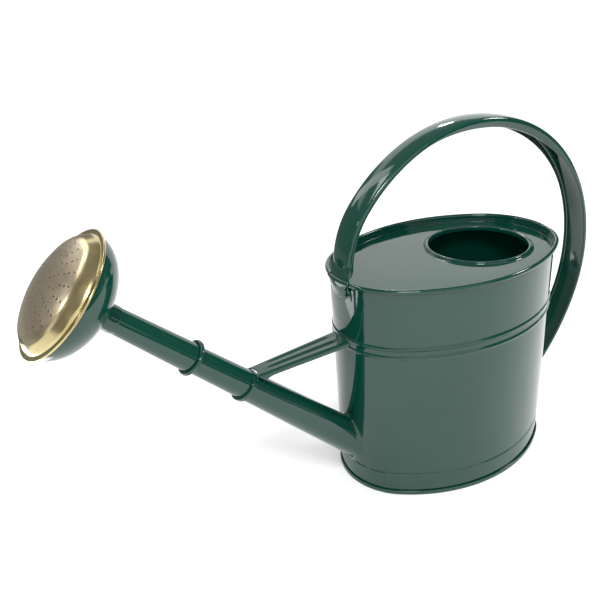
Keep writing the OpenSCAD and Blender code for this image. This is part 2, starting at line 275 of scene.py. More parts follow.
# ---------------------------------------------------------------- body wall, base, top plate
def bead(z0, half, rise):
    """The wall's path through a rounded bead, or a groove where rise is negative."""
    steps = 14
    zs = [z0 - half + 2 * half * i / steps for i in range(steps + 1)]
    return [(wall_mid(z) + rise * (1 - math.cos(2 * math.pi * i / steps)) / 2, z)
            for i, z in enumerate(zs)]


def body_wall():
    """The oval wall, from its lower edge up to the rim that is rolled outwards round a wire."""
    def up(*zs):
        return [(wall_mid(z), z) for z in zs]

    # The lower edge is turned out inside the base's seam
    path = [(wall_mid(5) + 0.9, 1.25), (wall_mid(2), 1.7), (wall_mid(4), 2.6), (wall_mid(7), 7.0)]
    path += up(20.0, 23.5) + bead(GROOVE_Z, GROOVE_HALF, -GROOVE_DEPTH)
    path += up(30.5, 36, 60, 90, 120, 150, 165, 170.5, 171.8)
    for z in BEADS_Z:
        path += bead(z, BEAD_HALF, BEAD_RISE)
    path += up(188.5, 190, 200, 220, 238, 243, 246)
    path += arc(RIM_OFF, RIM_Z, RIM_ROLL, 180, -140, 26)
    return finish_mesh(grid("wall", around(outline(path, SHEET)), wrap=True, close_rows=True))


def base_panel():
    """The base: its seam is folded up round the wall's lower edge, and its panel is let in."""
    out, h, bend = SEAM_OUT, SEAM_H, SEAM_BEND
    inner, top, rise = -SHEET - LAP, PANEL_Z, PANEL_Z + PANEL_STEP
    # Out and up round the seam, down between its two layers, and up inside the wall
    path = arc(out - bend, bend, bend, -90, 0, 5) + arc(out - bend, h - bend, bend, 0, 90, 5)
    path += [(out - 1.15, h - 0.1), (out - 1.1, h - 0.5), (out - SHEET, h - 0.9)]
    path += [(out - SHEET, SHEET + 0.2), (out - SHEET - 0.2, SHEET), (inner + 0.2, SHEET)]
    path += [(inner, SHEET + 0.2), (inner, top - 1), (inner - 0.3, top - 0.3), (inner - 1, top)]
    # In over the step to the raised panel, and back below it
    step = [(-6, top), (-9, top + 0.1), (-11, top + 0.9), (-13, rise)]
    path += step
    edge = len(path) - 1
    path += [(o, z - SHEET) for o, z in step[::-1]]
    path += [(inner - SHEET - 0.7, top - SHEET), (inner - SHEET, top - SHEET - 0.7)]
    path += arc(inner - SHEET + 0.6, 0.6, 0.6, 180, 270, 4)
    verts, faces = quads(around(path), wrap=True, close_rows=True, skip=lambda i, j: j == edge)
    # The flat panel closes the ring's inner edge, above and below
    nr, nc = len(STATIONS), len(path)
    for j, z in ((edge, rise), (edge + 1, rise - SHEET)):
        verts.append((0, 0, z))
        hub = len(verts) - 1
        loops = [[i * nc + j for i in range(nr)]]
        for k in (0.66, 0.33):
            loops.append(list(range(len(verts), len(verts) + nr)))
            verts.extend((verts[i][0] * k, verts[i][1] * k, z) for i in loops[0])
        for outer, nxt in zip(loops, loops[1:]):
            faces.extend((outer[i], outer[(i + 1) % nr], nxt[(i + 1) % nr], nxt[i])
                         for i in range(nr))
        faces.extend((loops[-1][i], loops[-1][(i + 1) % nr], hub) for i in range(nr))
    return finish_mesh(link("base", verts, faces))


def oval_hit(cx, a, off):
    """Where the ray at angle a from (cx, 0) leaves the oval grown by off: point and normal."""
    d = (math.cos(a), math.sin(a))
    best = None
    for side in (1, -1):
        for ax, ay, r, is_end in ((side * END_X, 0.0, END_R + off, True),
                                  (0.0, -side * SIDE_Y, SIDE_R + off, False)):
            ox, oy = cx - ax, -ay
            b, c = ox * d[0] + oy * d[1], ox * ox + oy * oy - r * r
            q = b * b - c
            if q < 0:
                continue
            t = -b + math.sqrt(q)
            p = (cx + t * d[0], t * d[1])
            n = ((p[0] - ax) / r, (p[1] - ay) / r)
            turn = math.atan2(abs(n[1]), abs(n[0]))
            if is_end:
                on_arc = turn <= END_ANGLE + 1e-9 and n[0] * side > 0
            else:
                on_arc = turn >= END_ANGLE - 1e-9 and n[1] * side > 0
            if on_arc and (best is None or t > best[0]):
                best = (t, p, n)
    return best[1], best[2]


def top_plate():
    """The plate let in below the rim: a flange against the wall, and the fill opening's lip."""
    edge = wall_mid(DECK_Z) - SHEET - LAP
    z = DECK_Z - SHEET / 2
    flange = [(edge + 0.04, DECK_Z + 4.3), (edge, DECK_Z + 2.0)]
    flange += arc(edge - DECK_BEND, z + DECK_BEND, DECK_BEND, 0, -90, 5)
    bore, lip_z = FILL_R + SHEET / 2, DECK_Z + FILL_RISE
    opening = [(FILL_R + 12, z + 0.02), (FILL_R + 9, z + 0.02)]
    opening += arc(FILL_R + 6.8, z + FILL_SWEEP, FILL_SWEEP, -90, -158, 8)
    opening += arc(bore + FILL_LIP, lip_z - FILL_LIP - SHEET / 2, FILL_LIP, 22, 180, 14)
    opening += [(bore, DECK_Z), (bore, DECK_Z - 2)]
    n = 192
    rows = []
    for i in range(n):
        a = 2 * math.pi * (i + 0.5) / n
        (px, py), (nx, ny) = oval_hit(FILL_X, a, edge)
        row = [(px + nx * (o - edge), py + ny * (o - edge), h) for o, h in flange]
        ex, ey = row[-1][0], row[-1][1]
        qx, qy = FILL_X + opening[0][0] * math.cos(a), opening[0][0] * math.sin(a)
        # The plate is very slightly crowned, as pressed sheet is, and most where it is widest
        wide = smooth01(math.hypot(ex - qx, ey - qy) / 60)
        for k in (0.06, 0.25, 0.5, 0.75, 0.94):
            crown = DECK_CROWN * math.sin(math.pi * k) * wide
            row.append((ex + (qx - ex) * k, ey + (qy - ey) * k, z + crown))
        row += [(FILL_X + r * math.cos(a), r * math.sin(a), h) for r, h in opening]
        rows.append(row)
    return thicken(grid("top_plate", rows, close_rows=True), SHEET)


# ---------------------------------------------------------------- handle
# Three arcs in the XZ plane, by their outer face: front leg, hoop and back, angles in degrees
HOOP_C, HOOP_R = np.array([30.0, 207.0]), 182.0
LEG_R, LEG_FROM, LEG_TO = 99.0, 141.0, 177.0
BACK_R, BACK_FROM = 243.0, -19.5
LEG_C = HOOP_C + (HOOP_R - LEG_R) * unit2(LEG_FROM)
BACK_C = HOOP_C - (BACK_R - HOOP_R) * unit2(BACK_FROM)
# The tab lies flat on the rear bracket, and a bend of radius TAB_BEND leads the back into it
TAB_X = HALF_L + wall_face(40) + BRACKET_T + 2 * LAP + WEB
BACK_TO = -math.degrees(math.acos((TAB_X + TAB_BEND - BACK_C[0]) / (BACK_R - WEB + TAB_BEND)))
TAB_Z = BACK_C[1] + (BACK_R - WEB + TAB_BEND) * math.sin(math.radians(BACK_TO))


def handle_path():
    """Middle of the channel's web in the XZ plane, front foot first, with its outward normal."""
    # The foot bends away from the leg on a short radius, then runs straight to its end
    p = LEG_C + (LEG_R - WEB) * unit2(LEG_TO)
    lean = math.radians(FOOT_LEAN)
    down = np.array([-math.sin(lean), -math.cos(lean)])
    start = np.array([-math.sin(math.radians(LEG_TO)), math.cos(math.radians(LEG_TO))])
    steps = 8
    seg = FOOT_BEND * math.radians(FOOT_LEAN - (LEG_TO - 180.0)) / steps
    foot = [(p, unit2(LEG_TO))]
    for i in range(1, steps + 1):
        d = start * (1 - i / steps) + down * (i / steps)
        d /= np.linalg.norm(d)
        p = p + d * seg
        foot.append((p, np.array([d[1], -d[0]])))
    while p[1] > FOOT_Z:
        p = p + down
        foot.append((p, np.array([down[1], -down[0]])))
    pts = foot[::-1]
    for centre, r, a0, a1, n in ((LEG_C, LEG_R, LEG_TO, LEG_FROM, 36),
                                 (HOOP_C, HOOP_R, LEG_FROM, BACK_FROM, 120),
                                 (BACK_C, BACK_R, BACK_FROM, BACK_TO, 36)):
        for i in range(1, n + 1):
            a = a0 + (a1 - a0) * i / n
            pts.append((centre + (r - WEB) * unit2(a), unit2(a)))
    c = np.array([TAB_X + TAB_BEND, TAB_Z])
    for i in range(1, 9):
        a = 180 + BACK_TO - BACK_TO * i / 8
        pts.append((c + TAB_BEND * unit2(a), -unit2(a)))
    for z in (36, 32, 28, 24, TAB_FOOT_Z):
        pts.append((np.array([TAB_X, float(z)]), np.array([1.0, 0.0])))
    return pts


def channel_section(open_up, flange, crown, half_w, deep):
    """Middle line of the channel: (height, y) points from one edge to the other, where the
    height is over the middle of the web.
    open_up folds the flanges out flat as it goes to 1; flange scales their length;
    deep lengthens them, as it goes to 1, with a band that turns in under the hand."""
    fold = 1 - open_up
    hw = half_w - WEB - CHANNEL_BEND
    half = [(-crown * (y / hw) ** 2, y) for y in (0.0, hw * 0.2, hw * 0.4, hw * 0.6, hw * 0.8, hw)]
    lean = math.atan(2 * crown / hw)
    phi = max(math.radians(90 * fold), lean + 0.02)
    c = (-crown - CHANNEL_BEND * math.cos(lean), hw - CHANNEL_BEND * math.sin(lean))
    for i in range(1, 9):
        a = lean + (phi - lean) * i / 8
        half.append((c[0] + CHANNEL_BEND * math.cos(a), c[1] + CHANNEL_BEND * math.sin(a)))

    def go(a, length):
        half.append((half[-1][0] - math.sin(a) * length, half[-1][1] + math.cos(a) * length))

    for _ in range(2):
        go(phi, 0.45 * flange)
    # In the grip the edge goes on below a soft crease, leaning in and then turning under
    bend = phi + fold * math.radians(22)
    for _ in range(3):
        go(bend, 0.05 + 1.35 * deep)
    for _ in range(5):
        bend += fold * math.radians(11) * deep
        go(bend, 0.04 + 0.75 * deep)
    curl = fold * math.radians(95 - 50 * deep)
    for i in range(1, 6):
        go(bend + curl * i / 5, 0.3 * max(flange, 0.05))
    return [(n, -y) for n, y in half[:0:-1]] + half


def grip_depth(p):
    """How much the flanges are deepened at p: 1 where the hand goes, and 0 away from there."""
    turn = math.degrees(math.atan2(p[1] - HOOP_C[1], p[0] - HOOP_C[0]))
    if p[1] <= GRIP_LOW_Z:
        return 0.0
    return smooth01((GRIP_FRONT - turn) / 30) * smooth01((turn - GRIP_BACK) / 48)


def handle():
    """The hooped channel: splayed at its front foot, and flattened to a tab at its rear foot."""
    path = handle_path()
    s = [0.0]
    for a, b in zip(path, path[1:]):
        s.append(s[-1] + float(np.linalg.norm(b[0] - a[0])))
    tab_start = s[-1] - (TAB_Z - TAB_FOOT_Z) - TAB_BEND * math.radians(-BACK_TO)
    rows = []
    for (p, n), d in zip(path, s):
        foot = smooth01(1 - d / FOOT_L)
        open_up = FOOT_OPEN * foot ** 1.3
        flange, crown, half_w = 1.0, CHANNEL_CROWN, HANDLE_HALF_W + FOOT_SPREAD * foot
        if d > tab_start - TAB_FADE:
            k = smooth01((tab_start - d) / TAB_FADE)
            flange, crown, half_w = k, CHANNEL_CROWN * k, HANDLE_HALF_W - TAB_NARROW * (1 - k)
            open_up = max(open_up, TAB_OPEN * (1 - k))
        section = channel_section(open_up, flange, crown, half_w, grip_depth(p))
        rows.append([(p[0] + n[0] * h, y, p[1] + n[1] * h) for h, y in section])
    return thicken(grid("handle_channel", rows), HANDLE_T, bevel=0.25)


# ---------------------------------------------------------------- brackets
def end_point(off, y, z, side):
    """A point over one end of the can: off outside the oval, at y round the end's arc."""
    r = END_R + off
    a = y / END_R
    return (side * (END_X + r * math.cos(a)), r * math.sin(a), z)


def front_bracket():
    """The plate under the handle's foot: its middle is pressed out over the rim, between slots
    that leave an ear on each side, and goes on up inside the foot."""
    half_ys = [0, 2.5, 5, 8, 10.5, 13, 15.5, 17.2, 18.2, 20.5, 21.5]
    ys = [-y for y in half_ys[:0:-1]] + half_ys
    low, taper = 202.0, 17
    step, step_z, step_arch = 1.7, 231.5, 6.5
    slot_z, slot_y, slot_widens, ear_y, ear_z = 232.0, 17.2, 1.3, 18, 244.5
    over = RIM_R + LAP + BRACKET_T / 2
    last = math.radians(75)
    top = (0.9, 268.0)

    def up_wall(z, y):
        base = wall_face(z) + LAP + BRACKET_T / 2
        at = y
        if z < low + taper:
            half = BRACKET_TIP_W + (BRACKET_HALF_W - BRACKET_TIP_W) * (z - low) / taper
            at = y * (half / BRACKET_HALF_W)
        # The middle is pressed out to pass over the rim, from a rounded step
        lift = RIM_OFF + over - base
        foot = step_z + step_arch * (min(abs(at), slot_y) / 14.0) ** 2.2
        out = base + step * smooth01((z - foot) / 1.5)
        out += (lift - step) * smooth01((z - foot - 1.5) / 12)
        # The slots beside the pressed middle widen towards the rim
        if 13.5 < abs(at) < ear_y:
            side = slot_y - slot_widens * smooth01((z - 231) / 12) - 0.8 * (abs(y) < 16)
            at = math.copysign(min(abs(at), side), at)
        if abs(y) > ear_y:
            out, z = base + 0.25 * smooth01((z - 236) / 6), min(z, ear_z)
        return end_point(out, at, z, -1)

    def over_rim(a, y):
        return end_point(RIM_OFF + over * math.cos(a), y, RIM_Z + over * math.sin(a), -1)

    def into_foot(k, y):
        off0, z0 = RIM_OFF + over * math.cos(last), RIM_Z + over * math.sin(last)
        off, z = off0 + (top[0] - off0) * k, z0 + (top[1] - z0) * k
        x, bent, _ = end_point(off, y, z, -1)
        flat = smooth01(k / 0.5)
        held = max(-15.2, min(15.2, y))
        return (x + (-(END_X + END_R + off) - x) * flat, bent + (held - bent) * flat, z)

    zs = [low + i for i in range(45)]
    rows = [[up_wall(z, y) for y in ys] for z in zs]
    rows += [[over_rim(last * i / 5, y) for y in ys] for i in range(6)]
    rows += [[into_foot(k, y) for y in ys] for k in (0.15, 0.4, 0.7, 1.0)]
    cut, ear_row = zs.index(slot_z), 43

    def gap(i, j):
        return (j in (2, 17) and i >= cut) or (j in (0, 1, 18, 19) and i >= ear_row)

    return thicken(grid("front_plate", rows, skip=gap), PLATE_T, bevel=0.2)


def rear_bracket():
    """The plate between the handle's tab and the wall, tapered at its foot."""
    rows = []
    for i in range(31):
        z = 16.0 + i
        half = BRACKET_TIP_W + (BRACKET_HALF_W - BRACKET_TIP_W) * min(1.0, i / 10)
        rows.append([end_point(wall_face(z) + LAP + BRACKET_T / 2, half * j / 10, z, 1)
                     for j in range(-10, 11)])
    return thicken(grid("rear_plate", rows), PLATE_T, bevel=0.2)


# ---------------------------------------------------------------- strut and collar
def spout_distance(p):
    """How far a point is from the spout's axis."""
    return (Vector(p) - Vector((SPOUT_X, 0, SPOUT_Z))).cross(ALONG).length


def strut():
    """The channel from the wall to the spout, with three soft ribs along its top."""
    root = HALF_L + wall_face(STRUT_Z) + BEAD_RISE + LAP
    rib, ribs, sweep, strap_r, n = 0.35, 2.5, 4.2, 16.9, 48

    def section(half_w):
        hw = half_w - STRUT_BEND
        half = [(-STRUT_CROWN * (q / 8) ** 2, hw * q / 8) for q in range(9)]
        for i in range(1, 7):
            a = math.radians(90 * i / 6)
            half.append((-STRUT_CROWN - STRUT_BEND + STRUT_BEND * math.cos(a),
                         hw + STRUT_BEND * math.sin(a)))
        for i in range(1, 4):
            drop = (STRUT_DEPTH - STRUT_BEND - STRUT_CROWN) * i / 3
            half.append((-STRUT_CROWN - STRUT_BEND - drop, half_w))
        return [(h, -y) for h, y in half[:0:-1]] + half

    wide = section((STRUT_W - HANDLE_T) / 2)
    narrow = section((STRUT_TIP_W - HANDLE_T) / 2)
    half_w = wide[-1][1]

    def at(a, start, end):
        """The point a along the line of the channel that runs from start to end in section."""
        k = a / STRUT_L
        h, y = start[0] + (end[0] - start[0]) * k, start[1] + (end[1] - start[1]) * k
        if h > -0.6:
            fade = smooth01(a / 20) * smooth01((96 - a) / 20)
            h += rib * math.cos(start[1] / half_w * ribs * math.pi) * fade
        # The flanges sweep down into the strap at the spout
        h -= sweep * smooth01((a - 84) / 18) ** 1.5 * max(0.0, -h - 1.6) / 2.9
        return (-root - a * math.cos(STRUT_SLOPE) + h * math.sin(STRUT_SLOPE), y,
                STRUT_Z - HANDLE_T / 2 - a * math.sin(STRUT_SLOPE) + h * math.cos(STRUT_SLOPE))

    lines = []
    for start, end in zip(wide, narrow):
        # Each line of the channel runs until it meets the strap, which is thin under the top
        reach = strap_r + 1.5 * smooth01((-start[0] - 0.4) / 1.6)
        lo, hi = 60.0, 118.0
        for _ in range(40):
            mid = (lo + hi) / 2
            if spout_distance(at(mid, start, end)) > reach:
                lo = mid
            else:
                hi = mid
        lines.append([at(lo * i / n, start, end) for i in range(n + 1)])
    rows = [[line[i] for line in lines] for i in range(n + 1)]
    return thicken(grid("strut_channel", rows), HANDLE_T, bevel=0.2)


def collar():
    """The strap round the spout: full size below and beside it, and thin under the strut."""
    lo, hi, r, edge = COLLAR_AT - COLLAR_HALF, COLLAR_AT + COLLAR_HALF, COLLAR_R, COLLAR_EDGE
    full = [(spout_r(lo) + LAP, lo), (r - 1.2, lo + 0.02)]
    full += arc(r - edge, lo + edge, edge, -90, 0, 5) + [(r - 0.25, COLLAR_AT)]
    full += arc(r - edge, hi - edge, edge, 0, 90, 5)
    full += [(r - 1.2, hi - 0.02), (spout_r(hi) + LAP, hi)]

    def strap(a):
        off_top = abs(math.degrees(math.atan2(math.sin(a), math.cos(a))))
        k = 0.3 + 0.7 * smooth01((off_top - 34) / 26)
        return [(spout_r(d) + LAP + (q - spout_r(d) - LAP) * k, d) for q, d in full]

    return lathe("collar", strap, 128)


# ---------------------------------------------------------------- spout
def on_spout(phi, d):
    """The point of the spout's outside at angle phi, d along it."""
    r = spout_r(d)
    p = SPOUT_FRAME.to_3x3() @ Vector((r * math.cos(phi), r * math.sin(phi), d))
    return Vector((p.x + SPOUT_X, p.y, p.z + SPOUT_Z))


def wall_hit(phi):
    """Distance along the spout at which its line at angle phi meets the front wall."""
    lo, hi = -40.0, 60.0
    for _ in range(50):
        mid = (lo + hi) / 2
        p = on_spout(phi, mid)
        if math.hypot(p.x + END_X, p.y) < END_R + wall_face(p.z):
            lo = mid
        else:
            hi = mid
    return lo


def spout():
    """The tapered tube, cut at its root to the curve of the wall."""
    parts = (0, 0.02, 0.06, 0.15, 0.3, 0.5, 0.7, 0.85, 0.97, 0.997)

    def tube(phi):
        d0 = wall_hit(phi) - 0.3
        ds = [d0 + (SPOUT_L - d0) * k for k in parts]
        tip = [(SPOUT_R1 - t, SPOUT_L - 0.02) for t in (0.25, 0.55)]
        return ([(spout_r(d), d) for d in ds] + tip
                + [(spout_r(d) - SHEET, d) for d in ds[::-1]])

    return lathe("spout_tube", tube, 128)


def settle(q):
    """Moves a point that is inside the front wall out on to it."""
    r = math.hypot(q.x + END_X, q.y)
    s = max(1.0, (END_R + wall_face(q.z) + 0.02) / r)
    return Vector(((q.x + END_X) * s - END_X, q.y * s, q.z))


def spout_fillet():
    """The soldered fillet where the spout meets the wall, smoothed over with enamel."""
    up_spout, up_wall, seg, steps = 7.0, 4.5, 128, 12
    rows = []
    for i in range(seg):
        phi = 2 * math.pi * i / seg
        d0 = wall_hit(phi)
        p = on_spout(phi, d0)
        up = (on_spout(phi, d0 + 1) - p).normalized()
        radial = Vector((p.x + END_X, p.y, 0)).normalized()
        normal = (radial - Vector((0, 0, FLARE / BODY_H))).normalized()
        from_axis = p - Vector((SPOUT_X, 0, SPOUT_Z)) - ALONG * d0
        outward = from_axis.normalized()
        away = (from_axis - normal * from_axis.dot(normal)).normalized()
        a, b = p + up * up_spout, p + away * up_wall
        row = []
        for k in range(steps + 1):
            t = k / steps
            q = a * (1 - t) ** 2 + p * 2 * t * (1 - t) + b * t * t
            row.append(tuple(settle(q + outward * 0.05 * (1 - t) + normal * 0.06 * t)))
        # The back of the fillet is tucked into the wall and the spout
        row += [tuple(b - normal * 0.35 + away * 0.1), tuple(p - normal * 0.4 - outward * 0.3),
                tuple(a - outward * 0.3 + up * 0.1)]
        rows.append(row)
    return finish_mesh(grid("spout_fillet", rows, wrap=True, close_rows=True), angle=50)


# ---------------------------------------------------------------- rose
def sleeve():
    """The tapered sleeve over the spout's tip, with its open end rolled outwards round a wire."""
    def mid(d):
        return spout_r(d) + SLEEVE_GAP + SLEEVE_T / 2

    end = ROSE_AT - ROSE_DEPTH - 3
    path = [(mid(d), d) for d in (end, end - 1, end - 20, 280, 250, 237)]
    path += arc(mid(SLEEVE_AT) + SLEEVE_ROLL, SLEEVE_AT + SLEEVE_ROLL + SLEEVE_T / 2,
                SLEEVE_ROLL, 180, 470, 32)
    profile = outline(path, SLEEVE_T)
    return lathe("sleeve_tube", lambda a: profile, 128)


def neck():
    """The ring over the sleeve's end, which runs out on to the back of the rose."""
    start = ROSE_AT - ROSE_DEPTH - 14
    # (distance outside the sleeve, distance along the ring)
    outer = [(0.42, 0.0), (0.5, 0.2), (0.56, 1.0), (0.6, 3.0), (0.62, 6.0), (0.64, 9.0),
             (0.75, 11.0), (1.0, 12.2), (1.6, 13.1), (2.6, 13.6), (4.0, 13.9)]
    inner = [(3.9, 13.2), (2.0, 12.8), (0.7, 12.2), (0.3, 11.2), (0.3, 8.0), (0.3, 4.0),
             (0.12, 1.0), (0.12, 0.1), (0.25, 0.0)]
    profile = [(spout_r(start + d) + SLEEVE_GAP + SLEEVE_T + out, start + d)
               for out, d in outer + inner]
    return lathe("neck_ring", lambda a: profile, 128)


def rose_back():
    """The domed steel back of the rose, from the neck out to the flange under the brass."""
    shell, neck_r, steps = ROSE_R - 2.8, 11.0, 40
    lean = math.asin(neck_r / shell)
    path = []
    for i in range(steps + 1):
        a = lean + (math.radians(87) - lean) * i / steps
        path.append((shell * math.sin(a), ROSE_AT - 0.6 - ROSE_DEPTH * math.cos(a)))
    path += [(shell + 0.1, ROSE_AT - 1.0), (shell + 0.5, ROSE_AT - 0.7)]
    path += [(shell + 1.0, ROSE_AT - 0.6), (shell + 1.4, ROSE_AT - 0.6)]
    profile = outline(path, SHEET)
    return lathe("rose_shell", lambda a: profile, 192)


def face_height(r):
    """Height of the brass dome's middle surface above the rim, out to the shoulder."""
    return FACE_STEP + FACE_DOME - (CAP_R - math.sqrt(CAP_R ** 2 - r * r))


def shoulder_profile():
    """From the dome's edge to the crimped edge: (radius, distance along the spout)."""
    # A narrow ledge, a long slope and a hem
    brow = np.array([DOME_R, face_height(DOME_R)])
    ledge = brow + np.array([4.6, -2.75])
    bend = ledge + np.array([1.5, -1.0])
    hem = np.array([ROSE_R - 4.8, 1.0])
    prof = []
    for k in (0.06, 0.2, 0.5, 0.8, 0.94):
        q = brow + (ledge - brow) * k
        prof.append((q[0], ROSE_AT + q[1] + 0.25 * math.sin(math.pi * k)))
    for t in (0.0, 0.05, 0.1, 0.16, 0.24, 0.34, 0.5, 0.7, 0.85, 1.0):
        q = (1 - t) ** 2 * ledge + 2 * t * (1 - t) * bend + t * t * hem
        prof.append((q[0], ROSE_AT + q[1]))
    # The flange lies on the steel back and turns under its edge: (in from the rose's edge, height)
    crimp = [(4.72, 0.6), (4.4, 0.3), (3.9, 0.18), (2.5, 0.15), (1.1, 0.15), (0.75, 0.05),
             (0.45, -0.2), (0.3, -0.6), (0.42, -1.05), (0.7, -1.35), (1.1, -1.48), (1.7, -1.5)]
    return prof + [(ROSE_R - inset, ROSE_AT + h) for inset, h in crimp]


def rose_face():
    """The brass face: a dome meshed round its holes, with the shoulder carried round its edge."""
    pts, edges = [], []

    def loop(cx, cy, r, n, phase=0.0):
        k = len(pts)
        for i in range(n):
            a = 2 * math.pi * i / n + phase
            pts.append((cx + r * math.cos(a), cy + r * math.sin(a)))
        edges.extend((k + i, k + (i + 1) % n) for i in range(n))

    n_out, n_hole, rings, spacing = 168, 12, 32, 1.45
    loop(0, 0, DOME_R, n_out)
    centres = []
    for ring_r, count in HOLES:
        for i in range(count):
            a = 2 * math.pi * i / count
            centres.append((ring_r * math.cos(a), ring_r * math.sin(a)))
    for cx, cy in centres:
        loop(cx, cy, HOLE_R, n_hole)
        if math.hypot(cx, cy) + 1.15 < DOME_R - 0.1:
            loop(cx, cy, HOLE_LIP_R, n_hole, math.pi / n_hole)
    near = np.array(centres)

    def to_hole(x, y):
        return float(np.min(np.hypot(near[:, 0] - x, near[:, 1] - y)))

    for k in range(1, rings):
        r = DOME_R * k / rings
        n = max(8, int(2 * math.pi * r / spacing))
        for i in range(n):
            a = 2 * math.pi * (i + 0.5 * (k % 2)) / n
            q = (r * math.cos(a), r * math.sin(a))
            if to_hole(*q) > spacing:
                pts.append(q)
    flat, _, tri, _, _, _ = delaunay_2d_cdt([Vector(p) for p in pts], edges, [], 0, 1e-6)
    faces = []
    for t in tri:
        cx = sum(flat[i].x for i in t) / 3
        cy = sum(flat[i].y for i in t) / 3
        if math.hypot(cx, cy) <= DOME_R and to_hole(cx, cy) >= HOLE_R * 0.93:
            faces.append(tuple(t))
    verts = []
    for p in flat:
        # Each hole is punched from inside and leaves a slight raised lip
        burr = 0.09 * math.exp(-((max(0.0, to_hole(p.x, p.y) - HOLE_R)) / 0.45) ** 2)
        r = min(math.hypot(p.x, p.y), DOME_R)
        verts.append((p.x, p.y, ROSE_AT + face_height(r) + burr))
    index = {}
    for i, p in enumerate(flat):
        if abs(math.hypot(p.x, p.y) - DOME_R) < 1e-4:
            index[round(math.atan2(p.y, p.x) / (2 * math.pi) * n_out) % n_out] = i
    prev = [index[i] for i in range(n_out)]
    for r, d in shoulder_profile():
        cur = list(range(len(verts), len(verts) + n_out))
        for i in range(n_out):
            a = 2 * math.pi * i / n_out
            verts.append((r * math.cos(a), r * math.sin(a), d))
        faces.extend((prev[i], prev[(i + 1) % n_out], cur[(i + 1) % n_out], cur[i])
                     for i in range(n_out))
        prev = cur
    return thicken(link("brass_face", verts, faces, SPOUT_FRAME), FACE_T)


# ---------------------------------------------------------------- materials
def new_material(name):
    m = bpy.data.materials.new(name)
    m.use_nodes = True
    nt = m.node_tree
    return m, nt, nt.nodes["Principled BSDF"]


def add(nt, kind, **props):
    n = nt.nodes.new(kind)
    for k, v in props.items():
        setattr(n, k, v)
    return n


def object_coords(nt):
    return add(nt, "ShaderNodeTexCoord").outputs["Object"]


def noise(nt, vector, scale, detail, rough):
    n = add(nt, "ShaderNodeTexNoise")
    n.inputs["Scale"].default_value = scale
    n.inputs["Detail"].default_value = detail
    n.inputs["Roughness"].default_value = rough
    nt.links.new(vector, n.inputs["Vector"])
    return n.outputs["Fac"]


def ramp(nt, fac, *stops):
    """A colour ramp; each stop is a position and its colour."""
    r = add(nt, "ShaderNodeValToRGB")
    el = r.color_ramp.elements
    while len(el) > 1:
        el.remove(el[-1])
    el[0].position, el[0].color = stops[0][0], (*stops[0][1], 1)
    for pos, col in stops[1:]:
        el.new(pos).color = (*col, 1)
    nt.links.new(fac, r.inputs["Fac"])
    return r.outputs["Color"]


def span(nt, value, lo, hi, out_lo, out_hi):
    """Maps a value from lo to hi on to out_lo to out_hi, and holds it there outside them."""
    n = add(nt, "ShaderNodeMapRange")
    for key, v in (("From Min", lo), ("From Max", hi), ("To Min", out_lo), ("To Max", out_hi)):
        n.inputs[key].default_value = v
    nt.links.new(value, n.inputs["Value"])
    return n.outputs["Result"]


def blend(nt, factor, a, b):
    """Colour a going over to b, which is a socket or a plain colour, as the factor goes to 1."""
    n = add(nt, "ShaderNodeMix", data_type="RGBA", blend_type="MIX")
    nt.links.new(factor, n.inputs["Factor"])
    nt.links.new(a, n.inputs["A"])
    if isinstance(b, tuple):
        n.inputs["B"].default_value = (*b, 1)
    else:
        nt.links.new(b, n.inputs["B"])
    return n.outputs["Result"]


def vector_math(nt, operation, a, b=None):
    n = add(nt, "ShaderNodeVectorMath", operation=operation)
    nt.links.new(a, n.inputs[0])
    if b is not None:
        n.inputs[1].default_value = b
    return n.outputs


def bump(nt, height, strength, distance, under=None):
    """A bump from a height, laid over the bump under it."""
    n = add(nt, "ShaderNodeBump")
    n.inputs["Strength"].default_value = strength
    n.inputs["Distance"].default_value = distance
    nt.links.new(height, n.inputs["Height"])
    if under is not None:
        nt.links.new(under, n.inputs["Normal"])
    return n.outputs["Normal"]


def enamel():
    """Glossy dark green enamel over sheet steel: orange peel, faint runs and thin edges."""
    m, nt, bsdf = new_material("green_enamel")
    co = object_coords(nt)
    tone = noise(nt, co, 9.0, 3.0, 0.55)
    green = ramp(nt, tone, (0.3, (0.0006, 0.030, 0.0195)), (0.7, (0.0014, 0.038, 0.025)))
    edge = add(nt, "ShaderNodeNewGeometry").outputs["Pointiness"]
    worn = span(nt, edge, 0.53, 0.62, 0.0, 0.45)
    nt.links.new(blend(nt, worn, green, (0.008, 0.075, 0.058)), bsdf.inputs["Base Color"])
    rough = span(nt, noise(nt, co, 60.0, 4.0, 0.6), 0.3, 0.75, 0.05, 0.1)
    nt.links.new(rough, bsdf.inputs["Roughness"])
    bsdf.inputs["IOR"].default_value = 1.58
    peel = bump(nt, noise(nt, co, 160.0, 2.0, 0.5), 0.05, 0.0006)
    runs = bump(nt, noise(nt, co, 14.0, 2.0, 0.5), 0.12, 0.004, peel)
    nt.links.new(runs, bsdf.inputs["Normal"])
    return m


